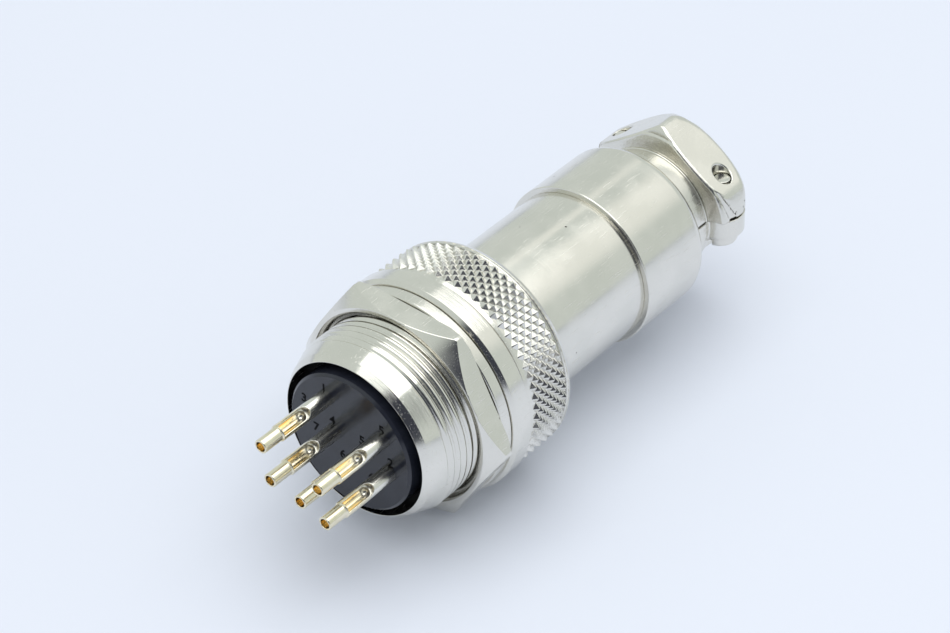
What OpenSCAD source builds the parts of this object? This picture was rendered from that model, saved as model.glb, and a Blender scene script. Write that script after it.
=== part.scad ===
// Round 16 mm metal aviation connector: panel receptacle and cable plug, mated.
// X runs along the connector from the solder cups (-X) to the cable clamp (+X), Z is up,
// and the origin is on the axis in the plane where the panel seats against the flange.
// Screw threads are plain cylinders at their outer diameter.

/* [Receptacle shell] */
// Outer diameter of the panel thread and of the mating thread
thread_d = 16; // [15:0.1:18]
// Length of the threaded nose in front of the flange
nose_len = 8.1; // [7.6:0.1:10]
// Length of the cone that leads into the panel thread
nose_cone_len = 2.4; // [0.5:0.1:3]
// Width of the flat rim in front of the cone
nose_rim_w = 0.1; // [0.05:0.05:0.5]
// Diameter of the shell's bore, both sides
shell_bore_d = 13.78; // [13.4:0.02:14]
// Diameter of the mounting flange
flange_d = 19.2; // [18.8:0.1:22]
// Thickness of the mounting flange
flange_t = 1.9; // [1.2:0.1:3]
// Chamfer on the flange's panel side
flange_chamfer = 0.3; // [0.1:0.05:0.6]
// Length of the mating thread behind the flange
mating_len = 3.1; // [2.6:0.1:5]
// Width of the key rib in the mating bore
key_w = 1.6; // [1:0.1:2.4]
// Height of the key rib
key_h = 0.65; // [0.4:0.05:0.75]

/* [Panel nut and washer] */
// Width of the nut across its flats
nut_af = 18; // [17.5:0.1:20]
// Thickness of the nut
nut_t = 2.1; // [1.5:0.1:2.4]
// Chamfer angle on the nut's front, from its face
nut_chamfer_angle = 40; // [20:1:45]
// Outer diameter of the flat washer
washer_d = 18.4; // [17.6:0.1:19]
// Thickness of the flat washer
washer_t = 1.1; // [0.5:0.1:1.5]

/* [Contacts] */
// Radius of the circle that the outer contacts stand on
outer_pitch_r = 4.1; // [3.9:0.05:4.4]
// Distance of the two inner contacts from the axis
inner_pitch_r = 1.55; // [1.45:0.05:1.7]
// Diameter of a contact where it leaves the insert
shank_d = 1.4; // [1.2:0.05:1.5]
// Diameter of the wire tube at the end of a solder cup
cup_tube_d = 1.18; // [1.1:0.02:1.24]
// Diameter of the hole in a solder cup
cup_bore_d = 0.84; // [0.7:0.02:0.9]
// Length of a solder cup outside the insert
cup_len = 7.45; // [6.8:0.05:10]
// Length of the closed wire tube at the end of a cup
cup_tube_len = 1.9; // [1.2:0.1:2.4]
// Length of the filling window behind the tube
cup_window_len = 3.2; // [2:0.1:3.6]
// Direction that the windows face, in degrees from +Y towards +Z
cup_window_angle = 122; // [0:1:360]
// Diameter of a mating pin
pin_d = 1; // [0.8:0.05:1.1]
// Length of a mating pin in front of the insert
pin_len = 5.6; // [4:0.1:6]
// Outer diameter of a socket contact
socket_d = 1.9; // [1.7:0.05:2]
// Length of a socket contact's solder cup behind the plug insert
socket_tail_len = 4.4; // [3:0.1:5]

/* [Inserts] */
// Diameter of the receptacle insert's front boss
boss_d = 12.3; // [12:0.05:12.6]
// How far the boss stands out of the nose
boss_proud = 0.55; // [0.2:0.05:1]
// Bevel on the boss's front edge
boss_bevel = 0.22; // [0.1:0.02:0.4]
// Thickness of the insert's seating flange
insert_flange_t = 2.7; // [2:0.1:3]
// Thickness of the shell's shoulder that the insert seats on
shoulder_t = 0.8; // [0.6:0.1:1.2]
// Thickness of both split retaining rings
clip_t = 0.6; // [0.4:0.05:0.8]
// Gap in a split retaining ring
clip_gap = 2.2; // [1:0.1:4]
// Length of the plug insert's wide head
plug_insert_head = 6.1; // [5:0.1:6.2]

/* [Coupling ring] */
// Diameter over the points of the knurl
ring_d = 18.98; // [18.5:0.02:20]
// Depth of the knurl
knurl_depth = 0.36; // [0.2:0.02:0.4]
// Number of knurl points round the ring
knurl_count = 60; // [40:1:64]
// Number of knurl rows along the ring, in half pitches
knurl_rows = 10; // [6:1:12]
// Length of the coupling ring
ring_len = 5.2; // [4.9:0.1:7]
// Width of the smooth land in front of the knurl
ring_land_w = 0.45; // [0.2:0.05:1]
// Width of the smooth bevel behind the knurl
ring_bevel_w = 0.55; // [0.3:0.05:0.8]
// Thickness of the ring's rear lip
ring_lip_t = 1.25; // [0.9:0.05:1.5]
// Gap between the flange and the coupling ring
ring_gap = 0.35; // [0.2:0.05:0.6]

/* [Plug shell] */
// Wall of the keyed sleeve
sleeve_wall = 0.8; // [0.6:0.05:0.9]
// Diameter of the collar that the ring pulls on
collar_d = 15; // [14.4:0.1:15.6]
// Diameter of the shell's rear thread
rear_thread_d = 12.6; // [12.4:0.05:12.7]
// Length of the shell's rear thread
rear_thread_len = 5.8; // [4:0.1:7]

/* [Tail barrel] */
// Diameter of the slim front that the ring slides on
front_barrel_d = 13.76; // [13.6:0.02:13.9]
// Length of the slim front
front_barrel_len = 13.9; // [10:0.1:16]
// Diameter of the rear barrel
rear_barrel_d = 14.74; // [14.4:0.02:15.2]
// Length of the rear barrel, with its rounded edge
rear_barrel_len = 8.05; // [6:0.05:10]
// Radius of the rear barrel's rounded edge
barrel_round = 1.1; // [0.5:0.05:1.5]
// Diameter of the room for the wires inside
wire_room_d = 11.2; // [10:0.1:11.6]
// Diameter of the neck
neck_d = 11.2; // [10.5:0.1:12]
// Length of the neck
neck_len = 2.4; // [1.5:0.1:4]
// Diameter of the hole through the neck
neck_bore_d = 8.4; // [7:0.1:9]

/* [Cable clamp] */
// Turn of the screwed-on tail about the axis, in degrees, -Y side up
tail_turn = 2.9; // [-30:0.1:30]
// Diameter over the clamp head's rim
head_d = 15.8; // [14.6:0.1:16]
// Length of the clamp head along the axis
head_len = 4.55; // [4.4:0.05:6]
// Slope of the two roof facets
roof_angle = 35; // [25:1:38]
// Distance of each clamp screw from the axis
screw_pitch = 5.2; // [5:0.05:5.5]
// Radius of the ears round the screws
ear_r = 2.05; // [1.8:0.05:2.2]
// Diameter of the turned disc that joins the neck to the ears
disc_d = 14.2; // [13:0.1:15]
// Height of the plane that parts the clamp halves, above the axis
split_z = 0.85; // [0:0.05:1.2]
// Diameter of the cable hole between the clamp halves
clamp_bore_d = 7.2; // [6:0.1:7.4]
// Thickness of the clamp bar's ears
bar_ear_t = 1.9; // [1.5:0.1:3]
// Outer diameter of the clamp bar's arch
bar_arch_d = 11; // [10:0.1:11.2]
// Gap between the clamp halves
clamp_gap = 0.2; // [0.1:0.05:0.6]
// Diameter of a clamp screw's thread
screw_d = 1.5; // [1.4:0.05:1.8]
// Diameter of a clamp screw's head
screw_head_d = 3; // [2.6:0.1:3.4]
// Height of a clamp screw's head
screw_head_h = 1; // [0.8:0.1:1.6]
// Depth of a screw's tip below the middle of its hole in the facet
screw_tip_sunk = 0.45; // [0:0.05:1]

/* [Fits] */
// Radial clearance of a running fit
run_fit = 0.06; // [0.03:0.01:0.1]
// Clearance of parts that are fixed together
fixed_fit = 0.01; // [0.005:0.005:0.03]
// Axial play between stacked turned parts
end_play = 0.05; // [0.02:0.01:0.1]

/* [Hidden] */
$fn = 96;
far = 60;
eps = 0.01;

nickel = [0.80, 0.80, 0.76];
gold = [0.85, 0.66, 0.30];
black = [0.10, 0.11, 0.13];

// Contact places as [distance from the axis, angle from +Y]
contacts = [
    [outer_pitch_r, 55], [inner_pitch_r, 15], [inner_pitch_r, 180],
    [outer_pitch_r, 145], [outer_pitch_r, 190]
];

// Receptacle stations along X
thread_r = thread_d / 2;
bore_r = shell_bore_d / 2;
nose_x = -nose_len;
boss_x = nose_x - boss_proud;
mating_x = flange_t + mating_len;
boss_r = boss_d / 2;
insert_r = bore_r - fixed_fit;
shoulder_r = boss_r + 0.1;
shoulder_face_x = -2.4;
shoulder_x = shoulder_face_x - shoulder_t;
insert_flange_x = shoulder_x - insert_flange_t;
clip_groove = 0.3;
clip_x = insert_flange_x - clip_t;
washer_x = -washer_t;
nut_x = washer_x - end_play - nut_t;
hole_r = thread_r + run_fit;

// Plug stations along X
sleeve_r = bore_r - run_fit;
sleeve_in_r = sleeve_r - sleeve_wall;
face_gap = 0.3;
sleeve_x = shoulder_face_x + face_gap;
collar_x = mating_x + end_play;
ring_x = flange_t + ring_gap;
ring_end_x = ring_x + ring_len;
lip_x = ring_end_x - ring_lip_t;
collar_end_x = lip_x - end_play;
plug_seat_x = sleeve_x + plug_insert_head;
plug_seat_t = 1.6;
plug_seat_r = sleeve_in_r - 0.75;
plug_clip_x = plug_seat_x + plug_seat_t + 0.02;
rear_r = rear_thread_d / 2;
rear_in_r = rear_r - 0.6;
rear_x = collar_end_x + rear_thread_len;
plug_insert_end = plug_clip_x + clip_t + 0.4;

// Tail stations along X
barrel_x = collar_end_x + fixed_fit;
shoulder_ring_x = barrel_x + front_barrel_len;
barrel_end_x = shoulder_ring_x + rear_barrel_len;
neck_end_x = barrel_end_x + neck_len;
head_end_x = neck_end_x + head_len;
screw_x = head_end_x - ear_r;
head_r = head_d / 2;
ridge_z = head_r + 0.1;
screw_top_z = ridge_z - screw_pitch * tan(roof_angle);
bar_ear_z = split_z - clamp_gap / 2 - bar_ear_t;

// A solid of revolution about X, from [x, radius] points
module turned(points) {
    rotate([0, 90, 0])
        rotate_extrude()
            polygon([for (p = points) [p[1], p[0]]]);
}

// A round bar along X from x0 to x1
module bar_x(x0, x1, r) {
    translate([x0, 0, 0])
        rotate([0, 90, 0])
            cylinder(h = x1 - x0, r = r);
}

// Puts its children at contact i, with their local axis along X
module at_contact(i) {
    translate([0, contacts[i][0] * cos(contacts[i][1]), contacts[i][0] * sin(contacts[i][1])])
        children();
}

// A split ring with its gap towards +Z
module split_ring(x0, inner, outer) {
    difference() {
        bar_x(x0, x0 + clip_t, outer);
        bar_x(x0 - 1, x0 + clip_t + 1, inner);
        translate([x0 - 1, -clip_gap / 2, 0])
            cube([clip_t + 2, clip_gap, outer + 1]);
    }
}

module receptacle_shell() {
    flange_r = flange_d / 2;
    lead = 0.4;
    color(nickel)
        union() {
            difference() {
                turned([
                    [nose_x, bore_r],
                    [nose_x, bore_r + nose_rim_w],
                    [nose_x + nose_cone_len, thread_r],
                    [0, thread_r],
                    [0, flange_r - flange_chamfer],
                    [flange_chamfer, flange_r],
                    [flange_t, flange_r],
                    [flange_t, thread_r],
                    [mating_x - lead, thread_r],
                    [mating_x, thread_r - lead],
                    [mating_x, bore_r],
                    [shoulder_face_x, bore_r],
                    [shoulder_face_x, shoulder_r],
                    [shoulder_x, shoulder_r],
                    [shoulder_x, bore_r]
                ]);
                // Groove of the retaining ring
                bar_x(clip_x - 0.02, clip_x + clip_t, bore_r + clip_groove);
            }
            // Key rib in the mating bore
            intersection() {
                translate([shoulder_face_x, -key_w / 2, bore_r - key_h])
                    cube([mating_x - shoulder_face_x - 0.8, key_w, key_h + 0.3]);
                bar_x(shoulder_face_x - 1, mating_x, bore_r + 0.2);
            }
        }
}

module panel_nut() {
    corner_r = nut_af / 2 / cos(30);
    drop = tan(nut_chamfer_angle);
    back_drop = 0.3;
    back_w = 0.6;
    face_r = nut_af / 2 - 0.02;
    lead = 0.55;
    color(nickel)
        difference() {
            intersection() {
                translate([nut_x, 0, 0])
                    rotate([0, 90, 0])
                        rotate([0, 0, 30])
                            cylinder(h = nut_t, r = corner_r, $fn = 6);
                turned([
                    [nut_x, 0],
                    [nut_x, face_r],
                    [nut_x + (corner_r - face_r + 0.2) * drop, corner_r + 0.2],
                    [nut_x + nut_t - back_drop * 0.2 / back_w, corner_r + 0.2],
                    [nut_x + nut_t, corner_r - back_w],
                    [nut_x + nut_t, 0]
                ]);
            }
            bar_x(nut_x - 1, nut_x + nut_t + 1, hole_r);
            // Countersinks of the thread
            turned([
                [nut_x - 1, 0],
                [nut_x - 1, hole_r + lead + 1],
                [nut_x + lead, hole_r],
                [nut_x + lead, 0]
            ]);
        }
}

module flat_washer() {
    color(nickel)
        difference() {
            turned([
                [washer_x, 0],
                [washer_x, washer_d / 2 - 0.12],
                [washer_x + 0.12, washer_d / 2],
                [-0.06, washer_d / 2],
                [0, washer_d / 2 - 0.06],
                [0, 0]
            ]);
            bar_x(washer_x - 1, 1, hole_r);
        }
}

module receptacle_insert() {
    color(black)
        difference() {
            turned([
                [boss_x, 0],
                [boss_x, boss_r - boss_bevel],
                [boss_x + boss_bevel, boss_r],
                [insert_flange_x, boss_r],
                [insert_flange_x, insert_r],
                [shoulder_x, insert_r],
                [shoulder_x, boss_r],
                [shoulder_face_x, boss_r],
                [shoulder_face_x, 0]
            ]);
            for (i = [0:len(contacts) - 1])
                at_contact(i) {
                    bar_x(boss_x - 1, shoulder_face_x - 0.8, shank_d / 2 + fixed_fit);
                    bar_x(shoulder_face_x - 1, shoulder_face_x + 1, pin_d / 2 + fixed_fit);
                }
        }
}

module receptacle_retaining_ring() {
    color(black)
        split_ring(clip_x, boss_r + 0.1, bore_r + clip_groove - 0.03);
}

// A solder cup: wire tube, filling window and solid shank, from x0 towards +X
module solder_cup(x0, tube_len, window_len, shank_end, outer_d, tube_d, bore_d) {
    window_x = x0 + tube_len;
    window_w = outer_d * 0.74;
    end_cut = 0.45;
    difference() {
        union() {
            bar_x(x0, window_x + eps, tube_d / 2);
            bar_x(window_x, shank_end, outer_d / 2);
        }
        // Wire hole, rounded at its bottom
        bar_x(x0 - 1, window_x + window_len - window_w / 2, bore_d / 2);
        translate([window_x + window_len - window_w / 2, 0, 0])
            sphere(r = bore_d / 2, $fn = 48);
        // Window, round at its inner end
        translate([window_x + 0.2, -window_w / 2, 0.08])
            cube([window_len - 0.2 - window_w / 2, window_w, outer_d]);
        translate([window_x + window_len - window_w / 2, 0, 0.08])
            cylinder(h = outer_d, r = window_w / 2, $fn = 48);
        // Slanted mouth of the tube
        translate([x0, 0, 0])
            rotate([0, -20, 0])
                translate([-2, -outer_d, 0.12])
                    cube([2 + end_cut, 2 * outer_d, 2 * outer_d]);
    }
}

module pin_contact(i) {
    tip_round = 0.3;
    body_end = shoulder_face_x - 0.8;
    pin_end = shoulder_face_x + pin_len;
    cup_x = boss_x - cup_len;
    color(gold)
        at_contact(i)
            union() {
                rotate([cup_window_angle - 90, 0, 0])
                    solder_cup(cup_x, cup_tube_len, cup_window_len, body_end, shank_d,
                               cup_tube_d, cup_bore_d);
                turned([
                    [body_end - eps, 0],
                    [body_end - eps, pin_d / 2],
                    [pin_end - tip_round, pin_d / 2],
                    [pin_end, pin_d / 2 - tip_round],
                    [pin_end, 0]
                ]);
            }
}

// The band of pyramids that the knurling wheels press, as one closed solid
module knurl_band(x0, x1, crest_r, depth) {
    half = 2 * knurl_count;
    step = (x1 - x0) / knurl_rows;
    function at(i, j) = j * half + (i % half);
    function even(i, j) = (i + j) % 2 == 0;
    rings = [for (j = [0:knurl_rows]) for (i = [0:half - 1])
        let (r = even(i, j) ? crest_r - depth : crest_r, a = 360 * i / half)
            [x0 + j * step, r * cos(a), r * sin(a)]];
    points = concat(rings, [[x0, 0, 0], [x1, 0, 0]]);
    front = len(rings);
    back = front + 1;
    // Each cell is folded along the line between its two valleys
    lower = [for (j = [0:knurl_rows - 1]) for (i = [0:half - 1])
        even(i, j) ? [at(i, j), at(i + 1, j + 1), at(i + 1, j)]
                   : [at(i, j), at(i, j + 1), at(i + 1, j)]];
    upper = [for (j = [0:knurl_rows - 1]) for (i = [0:half - 1])
        even(i, j) ? [at(i, j), at(i, j + 1), at(i + 1, j + 1)]
                   : [at(i + 1, j), at(i, j + 1), at(i + 1, j + 1)]];
    front_cap = [for (i = [0:half - 1]) [front, at(i, 0), at(i + 1, 0)]];
    back_cap = [for (i = [0:half - 1]) [back, at(i + 1, knurl_rows), at(i, knurl_rows)]];
    polyhedron(points = points, faces = concat(lower, upper, front_cap, back_cap));
}

module coupling_ring() {
    crest_r = ring_d / 2;
    knurl_start = ring_x + ring_land_w;
    knurl_end = ring_end_x - ring_bevel_w;
    lip_r = front_barrel_d / 2 + run_fit;
    color(nickel)
        difference() {
            union() {
                knurl_band(knurl_start, knurl_end, crest_r, knurl_depth);
                // Smooth land in front, smooth bevel behind
                turned([
                    [ring_x, 0],
                    [ring_x, crest_r - knurl_depth - 0.45],
                    [ring_x + 0.2, crest_r - knurl_depth - 0.2],
                    [knurl_start + 0.1, crest_r - knurl_depth - 0.1],
                    [knurl_start + 0.1, 0]
                ]);
                turned([
                    [knurl_end - 0.1, 0],
                    [knurl_end - 0.1, crest_r - knurl_depth - 0.02],
                    [knurl_end, crest_r - 0.08],
                    [ring_end_x - 0.06, crest_r - 0.36],
                    [ring_end_x, crest_r - 0.44],
                    [ring_end_x, 0]
                ]);
            }
            bar_x(ring_x - 1, lip_x, hole_r);
            bar_x(lip_x - 1, ring_end_x + 1, lip_r);
            // Countersink of the thread
            turned([
                [ring_x - 1, 0],
                [ring_x - 1, hole_r + 1.2],
                [ring_x + 0.2, hole_r],
                [ring_x + 0.2, 0]
            ]);
        }
}

module plug_shell() {
    keyway_w = key_w + 2 * run_fit + 0.1;
    color(nickel)
        difference() {
            turned([
                [sleeve_x, sleeve_in_r],
                [sleeve_x, sleeve_r - 0.2],
                [sleeve_x + 0.2, sleeve_r],
                [collar_x, sleeve_r],
                [collar_x, collar_d / 2],
                [collar_end_x, collar_d / 2],
                [collar_end_x, rear_r],
                [rear_x, rear_r],
                [rear_x, rear_in_r],
                [plug_seat_x + plug_seat_t, rear_in_r],
                [plug_seat_x + plug_seat_t, plug_seat_r],
                [plug_seat_x, plug_seat_r],
                [plug_seat_x, sleeve_in_r]
            ]);
            // Keyway
            translate([sleeve_x - 1, -keyway_w / 2, bore_r - key_h - run_fit - 0.05])
                cube([collar_x - sleeve_x + 1 - 0.3, keyway_w, 3]);
        }
}

module plug_insert() {
    head_r = sleeve_in_r - fixed_fit;
    tail_r = plug_seat_r - fixed_fit;
    groove_r = tail_r - 0.25;
    mouth_t = 0.4;
    keyway_w = key_w + 2 * run_fit + 0.1;
    color(black)
        difference() {
            turned([
                [sleeve_x, 0],
                [sleeve_x, head_r - 0.15],
                [sleeve_x + 0.15, head_r],
                [plug_seat_x, head_r],
                [plug_seat_x, tail_r],
                [plug_clip_x, tail_r],
                [plug_clip_x, groove_r],
                [plug_clip_x + clip_t, groove_r],
                [plug_clip_x + clip_t, tail_r],
                [plug_insert_end, tail_r],
                [plug_insert_end, 0]
            ]);
            for (i = [0:len(contacts) - 1])
                at_contact(i) {
                    bar_x(sleeve_x - 1, sleeve_x + mouth_t + 0.1, pin_d / 2 + 0.1);
                    bar_x(sleeve_x + mouth_t, plug_insert_end + 1, socket_d / 2 + fixed_fit);
                }
        }
}

module plug_retaining_ring() {
    groove_r = plug_seat_r - fixed_fit - 0.25;
    color(nickel)
        split_ring(plug_clip_x, groove_r + 0.01, rear_in_r - 0.1);
}

module socket_contact(i) {
    front_x = sleeve_x + 0.42;
    tail_end = plug_insert_end + socket_tail_len;
    bore_end = shoulder_face_x + pin_len + 0.6;
    color(gold)
        at_contact(i)
            rotate([cup_window_angle - 90, 0, 0])
                difference() {
                    turned([
                        [front_x, 0],
                        [front_x, socket_d / 2],
                        [plug_insert_end + 0.6, socket_d / 2],
                        [plug_insert_end + 0.8, socket_d / 2 - 0.2],
                        [tail_end, socket_d / 2 - 0.2],
                        [tail_end, 0]
                    ]);
                    bar_x(front_x - 1, bore_end, pin_d / 2 + run_fit);
                    // Solder cup and its slanted mouth
                    bar_x(tail_end - 2.6, tail_end + 1, socket_d / 2 - 0.45);
                    translate([tail_end - 1.9, -socket_d, 0.1])
                        cube([4, 2 * socket_d, socket_d]);
                }
}

// The stadium that the clamp's ears leave when they are milled
module ear_outline(z0, z1, r) {
    for (side = [-1, 1])
        translate([screw_x, side * screw_pitch, z0])
            cylinder(h = z1 - z0, r = r);
    translate([screw_x - r, -screw_pitch, z0])
        cube([2 * r, 2 * screw_pitch, z1 - z0]);
}

// The turned clamp head before the roof facets are cut
module head_blank() {
    flare_x = neck_end_x;
    neck_r = neck_d / 2;
    turned([
        [flare_x - 0.3, 0],
        [flare_x - 0.3, neck_r - 0.2],
        [flare_x + 0.1, neck_r - 0.1],
        [flare_x + 0.2, neck_r + 0.3],
        [flare_x + 0.3, neck_r + 0.75],
        [flare_x + 0.43, neck_r + 1.25],
        [flare_x + 0.62, neck_r + 1.75],
        [flare_x + 0.88, head_r],
        [head_end_x - 1.75, head_r],
        [head_end_x - 1.4, head_r - 0.15],
        [head_end_x - 1, head_r - 0.42],
        [head_end_x - 0.66, head_r - 0.72],
        [head_end_x - 0.36, head_r - 1.05],
        [head_end_x, head_r - 1.35],
        [head_end_x, 0]
    ]);
}

module tail_barrel() {
    bore_in = rear_r + fixed_fit;
    front_r = front_barrel_d / 2;
    rear_barrel_r = rear_barrel_d / 2;
    neck_r = neck_d / 2;
    room_x = rear_x + 0.3;
    color(nickel)
        rotate([-tail_turn, 0, 0])
            difference() {
                union() {
                    turned([
                        [barrel_x, 0],
                        [barrel_x, front_r - 0.15],
                        [barrel_x + 0.15, front_r],
                        [shoulder_ring_x - 0.02, front_r],
                        [shoulder_ring_x, front_r - 0.12],
                        [shoulder_ring_x + 0.02, rear_barrel_r - 0.15],
                        [shoulder_ring_x + 0.17, rear_barrel_r],
                        [barrel_end_x - barrel_round, rear_barrel_r],
                        for (a = [10:10:80])
                            [barrel_end_x - barrel_round * (1 - sin(a)),
                             rear_barrel_r - barrel_round * (1 - cos(a))],
                        [barrel_end_x, rear_barrel_r - barrel_round],
                        [barrel_end_x, neck_r],
                        [neck_end_x - 0.15, neck_r],
                        [neck_end_x, neck_r - 0.1],
                        [neck_end_x, 0]
                    ]);
                    clamp_head();
                }
                // Room for the plug shell, the wires and the cable
                turned([
                    [barrel_x - 1, 0],
                    [barrel_x - 1, bore_in],
                    [room_x, bore_in],
                    [room_x, wire_room_d / 2],
                    [barrel_end_x - 1.2, wire_room_d / 2],
                    [barrel_end_x - 0.4, neck_bore_d / 2],
                    [neck_end_x + 0.3, neck_bore_d / 2],
                    [neck_end_x + 0.3, 0]
                ]);
                // The neck's lower half, which the clamp bar takes the place of
                translate([barrel_end_x, -far / 2, -far + split_z + clamp_gap / 2])
                    cube([far, far, far]);
            }
}

// The fixed clamp half: two roof facets, threaded ears and the cable saddle
module clamp_head() {
    difference() {
        intersection() {
            head_blank();
            union() {
                ear_outline(0, far, ear_r);
                bar_x(neck_end_x - 1, screw_x, disc_d / 2);
            }
        }
        bar_x(neck_end_x - 1, head_end_x + 1, clamp_bore_d / 2);
        // Everything below the split
        translate([neck_end_x - 1, -far / 2, -far + split_z + clamp_gap / 2])
            cube([head_len + 2, far, far]);
        // Roof facets
        for (side = [-1, 1])
            translate([neck_end_x - 1, 0, ridge_z])
                rotate([-side * roof_angle, 0, 0])
                    translate([0, side > 0 ? 0 : -far / 2, 0])
                        cube([head_len + 2, far / 2, far]);
        for (side = [-1, 1])
            translate([screw_x, side * screw_pitch, -1])
                cylinder(h = far, r = screw_d / 2 + run_fit);
    }
}

module clamp_bar() {
    top_z = split_z - clamp_gap / 2;
    front_x = barrel_end_x + 0.1;
    step_x = neck_end_x + 0.3;
    color(nickel)
        rotate([-tail_turn, 0, 0])
            difference() {
                union() {
                    ear_outline(bar_ear_z, top_z, ear_r);
                    // Half of the neck and the arch round the cable
                    difference() {
                        union() {
                            bar_x(front_x, neck_end_x, neck_d / 2);
                            bar_x(front_x, head_end_x - 0.05, bar_arch_d / 2);
                        }
                        translate([front_x - 1, -far / 2, top_z])
                            cube([far, far, far]);
                    }
                }
                bar_x(front_x - 1, step_x, neck_bore_d / 2);
                bar_x(step_x - 1, head_end_x + 1, clamp_bore_d / 2);
                for (side = [-1, 1])
                    translate([screw_x, side * screw_pitch, -far / 2]) {
                        cylinder(h = far, r = screw_d / 2 + run_fit);
                        // Seat of the screw's head
                        cylinder(h = far / 2 + bar_ear_z, r = screw_head_d / 2 + 0.15);
                    }
            }
}

module clamp_screw(side) {
    tip_z = screw_top_z - screw_tip_sunk;
    head_z = bar_ear_z - screw_head_h;
    head_top = bar_ear_z - eps;
    head_edge = screw_head_d / 2;
    slot_w = 0.4;
    slot_depth = 0.5;
    color(nickel)
        rotate([-tail_turn, 0, 0])
            translate([screw_x, side * screw_pitch, 0])
                difference() {
                    rotate_extrude()
                        polygon([
                            [0, head_z],
                            [head_edge - 0.5, head_z],
                            [head_edge - 0.15, head_z + 0.2],
                            [head_edge, head_z + 0.5],
                            [head_edge, head_top],
                            [screw_d / 2, head_top],
                            [screw_d / 2, tip_z - 0.15],
                            [screw_d / 2 - 0.15, tip_z],
                            [0, tip_z]
                        ]);
                    translate([-screw_head_d, -slot_w / 2, head_z - 1])
                        cube([2 * screw_head_d, slot_w, 1 + slot_depth]);
                }
}

receptacle_shell();
panel_nut();
flat_washer();
receptacle_insert();
receptacle_retaining_ring();
pin_contact(0);  // pin_contact_1
pin_contact(1);  // pin_contact_2
pin_contact(2);  // pin_contact_3
pin_contact(3);  // pin_contact_4
pin_contact(4);  // pin_contact_5
coupling_ring();
plug_shell();
plug_insert();
plug_retaining_ring();
socket_contact(0);  // socket_contact_1
socket_contact(1);  // socket_contact_2
socket_contact(2);  // socket_contact_3
socket_contact(3);  // socket_contact_4
socket_contact(4);  // socket_contact_5
tail_barrel();
clamp_bar();
clamp_screw(-1);  // clamp_screw_1
clamp_screw(1);  // clamp_screw_2
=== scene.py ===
# %% [markdown]
# # A mated 16 mm aviation connector
# The part is a panel receptacle and a cable plug, screwed together. Nearly all of it is nickel-plated
# brass that was turned on a lathe, so most pieces are made here by turning an outline about X. The packed
# model gives every size and place, and the pieces below stand in for its solids with the roundings,
# threads and finish of the real ones.

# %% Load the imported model
import math

import bmesh
import bpy
import numpy as np
from mathutils import Matrix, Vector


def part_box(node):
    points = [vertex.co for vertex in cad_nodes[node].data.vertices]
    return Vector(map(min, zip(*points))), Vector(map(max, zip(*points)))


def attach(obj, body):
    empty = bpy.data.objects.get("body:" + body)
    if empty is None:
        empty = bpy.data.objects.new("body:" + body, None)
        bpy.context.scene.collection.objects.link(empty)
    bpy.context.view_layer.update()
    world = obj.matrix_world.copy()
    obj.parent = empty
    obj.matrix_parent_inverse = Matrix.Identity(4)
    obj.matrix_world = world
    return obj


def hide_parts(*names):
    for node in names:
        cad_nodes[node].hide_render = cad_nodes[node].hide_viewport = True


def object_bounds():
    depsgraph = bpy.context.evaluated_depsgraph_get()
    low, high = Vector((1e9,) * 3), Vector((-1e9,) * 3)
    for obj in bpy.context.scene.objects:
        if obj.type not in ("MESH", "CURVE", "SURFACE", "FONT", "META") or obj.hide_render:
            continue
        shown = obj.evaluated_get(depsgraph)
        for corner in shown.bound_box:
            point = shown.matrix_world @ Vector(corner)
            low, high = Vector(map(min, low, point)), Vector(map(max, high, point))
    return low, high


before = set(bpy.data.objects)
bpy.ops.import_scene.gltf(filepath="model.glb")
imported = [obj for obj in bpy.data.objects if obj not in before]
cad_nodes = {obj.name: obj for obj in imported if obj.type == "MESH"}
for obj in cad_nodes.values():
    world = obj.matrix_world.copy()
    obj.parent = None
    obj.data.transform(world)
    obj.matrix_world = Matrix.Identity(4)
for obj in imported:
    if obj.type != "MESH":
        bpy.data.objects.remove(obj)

MM = 0.001
cad_box = [list(corner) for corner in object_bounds()]


def span(node):
    """First x, last x and largest radius of a node, in millimetres."""
    low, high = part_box(node)
    return low.x / MM, high.x / MM, high.z / MM


print("nodes", len(cad_nodes), "box in mm", [[round(v / MM, 2) for v in c] for c in cad_box])

# %% [markdown]
# ## Camera, floor and light
# A long lens looks down on the solder cups from 41 degrees. The floor is a pale blue-white sheet. One large
# soft lamp hangs overhead. Chrome shows its whole surroundings, so the world gives reflections a light grey
# room with two soft glows on the far side and a dark place where a photographer would stand, and gives
# everything else one plain level, at which a colour looks as it is written.

# %% Camera
camera_data = bpy.data.cameras.new("camera")
camera_data.lens = 118.09
camera_data.sensor_width = 36
camera_data.clip_start = 0.01
camera_data.clip_end = 20
camera = bpy.data.objects.new("camera", camera_data)
camera.location = (-0.142389, -0.119254, 0.161270)
camera.rotation_euler = [math.radians(a) for a in (50.3408, -0.8353, -50.6321)]
bpy.context.scene.collection.objects.link(camera)
bpy.context.scene.camera = camera
bpy.context.scene.view_settings.view_transform = "Standard"
print("camera stands", round(camera.location.length, 3), "m from the origin")


# %% Shader helpers
def link(tree, source, target):
    tree.links.new(source, target)


def add_node(tree, kind, inputs=None, **settings):
    """A node with its settings, and its inputs filled with values or linked to outputs."""
    node = tree.nodes.new(kind)
    for key, value in settings.items():
        setattr(node, key, value)
    for key, value in (inputs or {}).items():
        if isinstance(value, bpy.types.NodeSocket):
            link(tree, value, node.inputs[key])
        else:
            node.inputs[key].default_value = value
    return node


def math_node(tree, operation, *values, clamp=False):
    node = tree.nodes.new("ShaderNodeMath")
    node.operation = operation
    node.use_clamp = clamp
    for slot, value in enumerate(values):
        if isinstance(value, bpy.types.NodeSocket):
            link(tree, value, node.inputs[slot])
        else:
            node.inputs[slot].default_value = value
    return node.outputs[0]


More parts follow.
